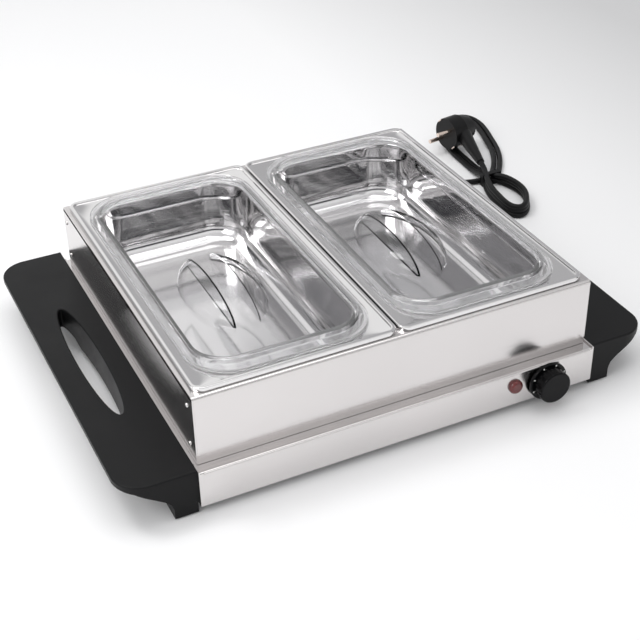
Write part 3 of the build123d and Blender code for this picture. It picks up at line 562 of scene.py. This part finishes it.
def add_well(vertices, faces, side, half_x, half_y, height, near, floor):
    """Half of an ellipsoid standing on the floor, flat towards the lid's middle. Returns the loop
    of vertices where it meets the floor."""
    first = len(vertices)
    start = math.asin(near / half_x)
    for step in range(WELL_SLICES):
        angle = start + (math.pi / 2 - start) * step / WELL_SLICES
        size = math.cos(angle)
        for turn in range(WELL_ARC + 1):
            sweep = math.pi * turn / WELL_ARC
            vertices.append((side * half_x * math.sin(angle), half_y * size * math.cos(sweep),
                             floor + height * size * math.sin(sweep)))
    tip = len(vertices)
    vertices.append((side * half_x, 0, floor))
    row = WELL_ARC + 1
    for step in range(WELL_SLICES - 1):
        low = first + step * row
        for turn in range(WELL_ARC):
            faces.append((low + turn, low + turn + 1, low + row + turn + 1, low + row + turn))
    low = first + (WELL_SLICES - 1) * row
    for turn in range(WELL_ARC):
        faces.append((low + turn, low + turn + 1, tip))
    faces.append(tuple(range(first, first + row)))
    going = [first + step * row for step in range(WELL_SLICES)]
    coming = [first + step * row + WELL_ARC for step in range(WELL_SLICES)]
    return going + [tip] + coming[::-1]


def make_lid(made, word, side):
    """Clear moulded lid, dome downwards: flange with a fine edge bead, tall rib, dish, wells."""
    rings = [*reversed(drawn_wall(*LID_OUTSIDE)), *LID_EDGE, *drawn_wall(*LID_INSIDE)]
    vertices = []
    faces = []
    underside, floor = skin(vertices, faces, rings)
    top = [floor]
    bottom = [underside]
    for hand in (-1, 1):
        top.append(add_well(vertices, faces, hand, *WELL_ABOVE))
        bottom.append(add_well(vertices, faces, hand, *WELL_BELOW))
    return formed_piece(f"lid_{word}_shell", f"lid_{word}", made["clear_lid"],
                        f"lid_{word}_body", side * PAN_X, vertices, faces, (top, bottom))


# ---- Studio ----
FLOOR_HALF = 6.0
# Painted shade: where along X the floor's colour falls from its light to its darker tone, standing
# in for light falling off towards the right.
PAPER_SHADE_SPAN = (-0.1, 1.1)
LAMPS = (
    ("overhead", (0.1, 0.1, 1.7), 1.4, 1.0, 6.0),
    ("left", (-1.5, -0.5, 1.3), 1.0, 0.8, 9.0),
    ("back left", (-0.7, 0.5, 1.6), 0.5, 0.5, 7.0),
)


def make_stage():
    """Pale floor with painted shade darkening it towards the right, soft lights and a bright
    surround with a dark band in front.
    """
    mesh = bpy.data.meshes.new("floor")
    corners = [(x * FLOOR_HALF, y * FLOOR_HALF, 0) for x, y in ((-1, -1), (1, -1), (1, 1), (-1, 1))]
    mesh.from_pydata(corners, [], [(0, 1, 2, 3)])
    floor = bpy.data.objects.new("floor", mesh)
    bpy.context.scene.collection.objects.link(floor)
    paper = Shader("paper", (0.9, 0.9, 0.905), Roughness=0.7)
    # Painted shade: the floor's colour darkens along X in place of light falling off away from the
    # lamps on the left.
    painted_shade = paper.remap(paper.place("X"), 0.0, 1.0, *PAPER_SHADE_SPAN)
    paper.vary_color(painted_shade, (0.92, 0.92, 0.925), (0.64, 0.64, 0.645))
    mesh.materials.append(paper.material)

    make_surround()
    for name, place, size_x, size_y, power in LAMPS:
        data = bpy.data.lights.new(name, "AREA")
        data.shape = "RECTANGLE"
        data.size = size_x
        data.size_y = size_y
        data.energy = power
        lamp = bpy.data.objects.new(name, data)
        lamp.location = place
        lamp.rotation_euler = (-Vector(place)).to_track_quat("-Z", "Y").to_euler()
        bpy.context.scene.collection.objects.link(lamp)


SURROUND_STRENGTH = 0.92
# The surround is white, with a dark band above the table's glow in front, a grey corner behind on
# the left, a grey wall on the right and a greyer ceiling. Heights are sines of elevations.
BAND_LOW = (0.409, 0.415)
BAND_HIGH = (0.55, 0.58)
DARK = (0.012, 0.013, 0.019)
CORNER_AIM = (-0.55, 0.70, 0.454)
CORNER_EDGE = (0.935, 0.955)
CORNER_GREY = (0.3, 0.3, 0.31)
ZENITH = (0.72, 0.8)
ZENITH_GREY = (0.75, 0.75, 0.755)
GREY_WALL = (0.52, 0.52, 0.53)
GREY_WALL_START = math.radians(21)


def make_surround():
    """World light by direction: white, dark band, grey corner, grey wall and ceiling."""
    world = bpy.data.worlds.new("surround")
    bpy.context.scene.world = world
    world.use_nodes = True
    tree = world.node_tree
    background = tree.nodes["Background"]
    background.inputs["Strength"].default_value = SURROUND_STRENGTH
    direction = tree.nodes.new("ShaderNodeTexCoord").outputs["Generated"]
    split = tree.nodes.new("ShaderNodeSeparateXYZ")
    tree.links.new(direction, split.inputs["Vector"])

    def step(value, low, high, start=0.0, stop=1.0):
        node = tree.nodes.new("ShaderNodeMapRange")
        node.interpolation_type = "SMOOTHSTEP"
        for socket, number in zip(("From Min", "From Max", "To Min", "To Max"),
                                  (low, high, start, stop)):
            node.inputs[socket].default_value = number
        tree.links.new(value, node.inputs["Value"])
        return node.outputs["Result"]

    def times(first, second):
        node = tree.nodes.new("ShaderNodeMath")
        node.operation = "MULTIPLY"
        tree.links.new(first, node.inputs[0])
        tree.links.new(second, node.inputs[1])
        return node.outputs["Value"]

    def layer(mask, below, color):
        node = tree.nodes.new("ShaderNodeMix")
        node.data_type = "RGBA"
        tree.links.new(mask, node.inputs["Factor"])
        if below is None:
            node.inputs["A"].default_value = (1, 1, 1, 1)
        else:
            tree.links.new(below, node.inputs["A"])
        node.inputs["B"].default_value = (*color, 1)
        return node.outputs["Result"]

    def along(aim, low, high):
        node = tree.nodes.new("ShaderNodeVectorMath")
        node.operation = "DOT_PRODUCT"
        tree.links.new(direction, node.inputs[0])
        node.inputs[1].default_value = aim
        return step(node.outputs["Value"], low, high)

    height = split.outputs["Z"]
    band = times(step(height, *BAND_LOW), step(height, *BAND_HIGH, 1.0, 0.0))
    band = times(band, along((0, -1, 0), 0.1, 0.3))
    corner = along(CORNER_AIM, *CORNER_EDGE)
    wall = times(along((math.cos(GREY_WALL_START), -math.sin(GREY_WALL_START), 0), -0.01, 0.05),
                 along((0, 1, 0), -0.3, -0.1))
    wall = times(wall, step(height, 0.7, 0.85, 1.0, 0.0))
    color = layer(wall, layer(corner, layer(band, None, DARK), CORNER_GREY), GREY_WALL)
    color = layer(step(height, *ZENITH), color, ZENITH_GREY)
    tree.links.new(color, background.inputs["Color"])


def main():
    make_camera()
    bpy.context.scene.view_settings.view_transform = "Standard"
    made = make_materials()
    dress_nodes(made)
    cord = make_cord(made)
    relief = make_strain_relief(made)
    for word, side in (("left", -1), ("right", 1)):
        make_pan(made, word, side)
        make_lid(made, word, side)
    length = round(cord_length(cord), 3)
    make_stage()


main()
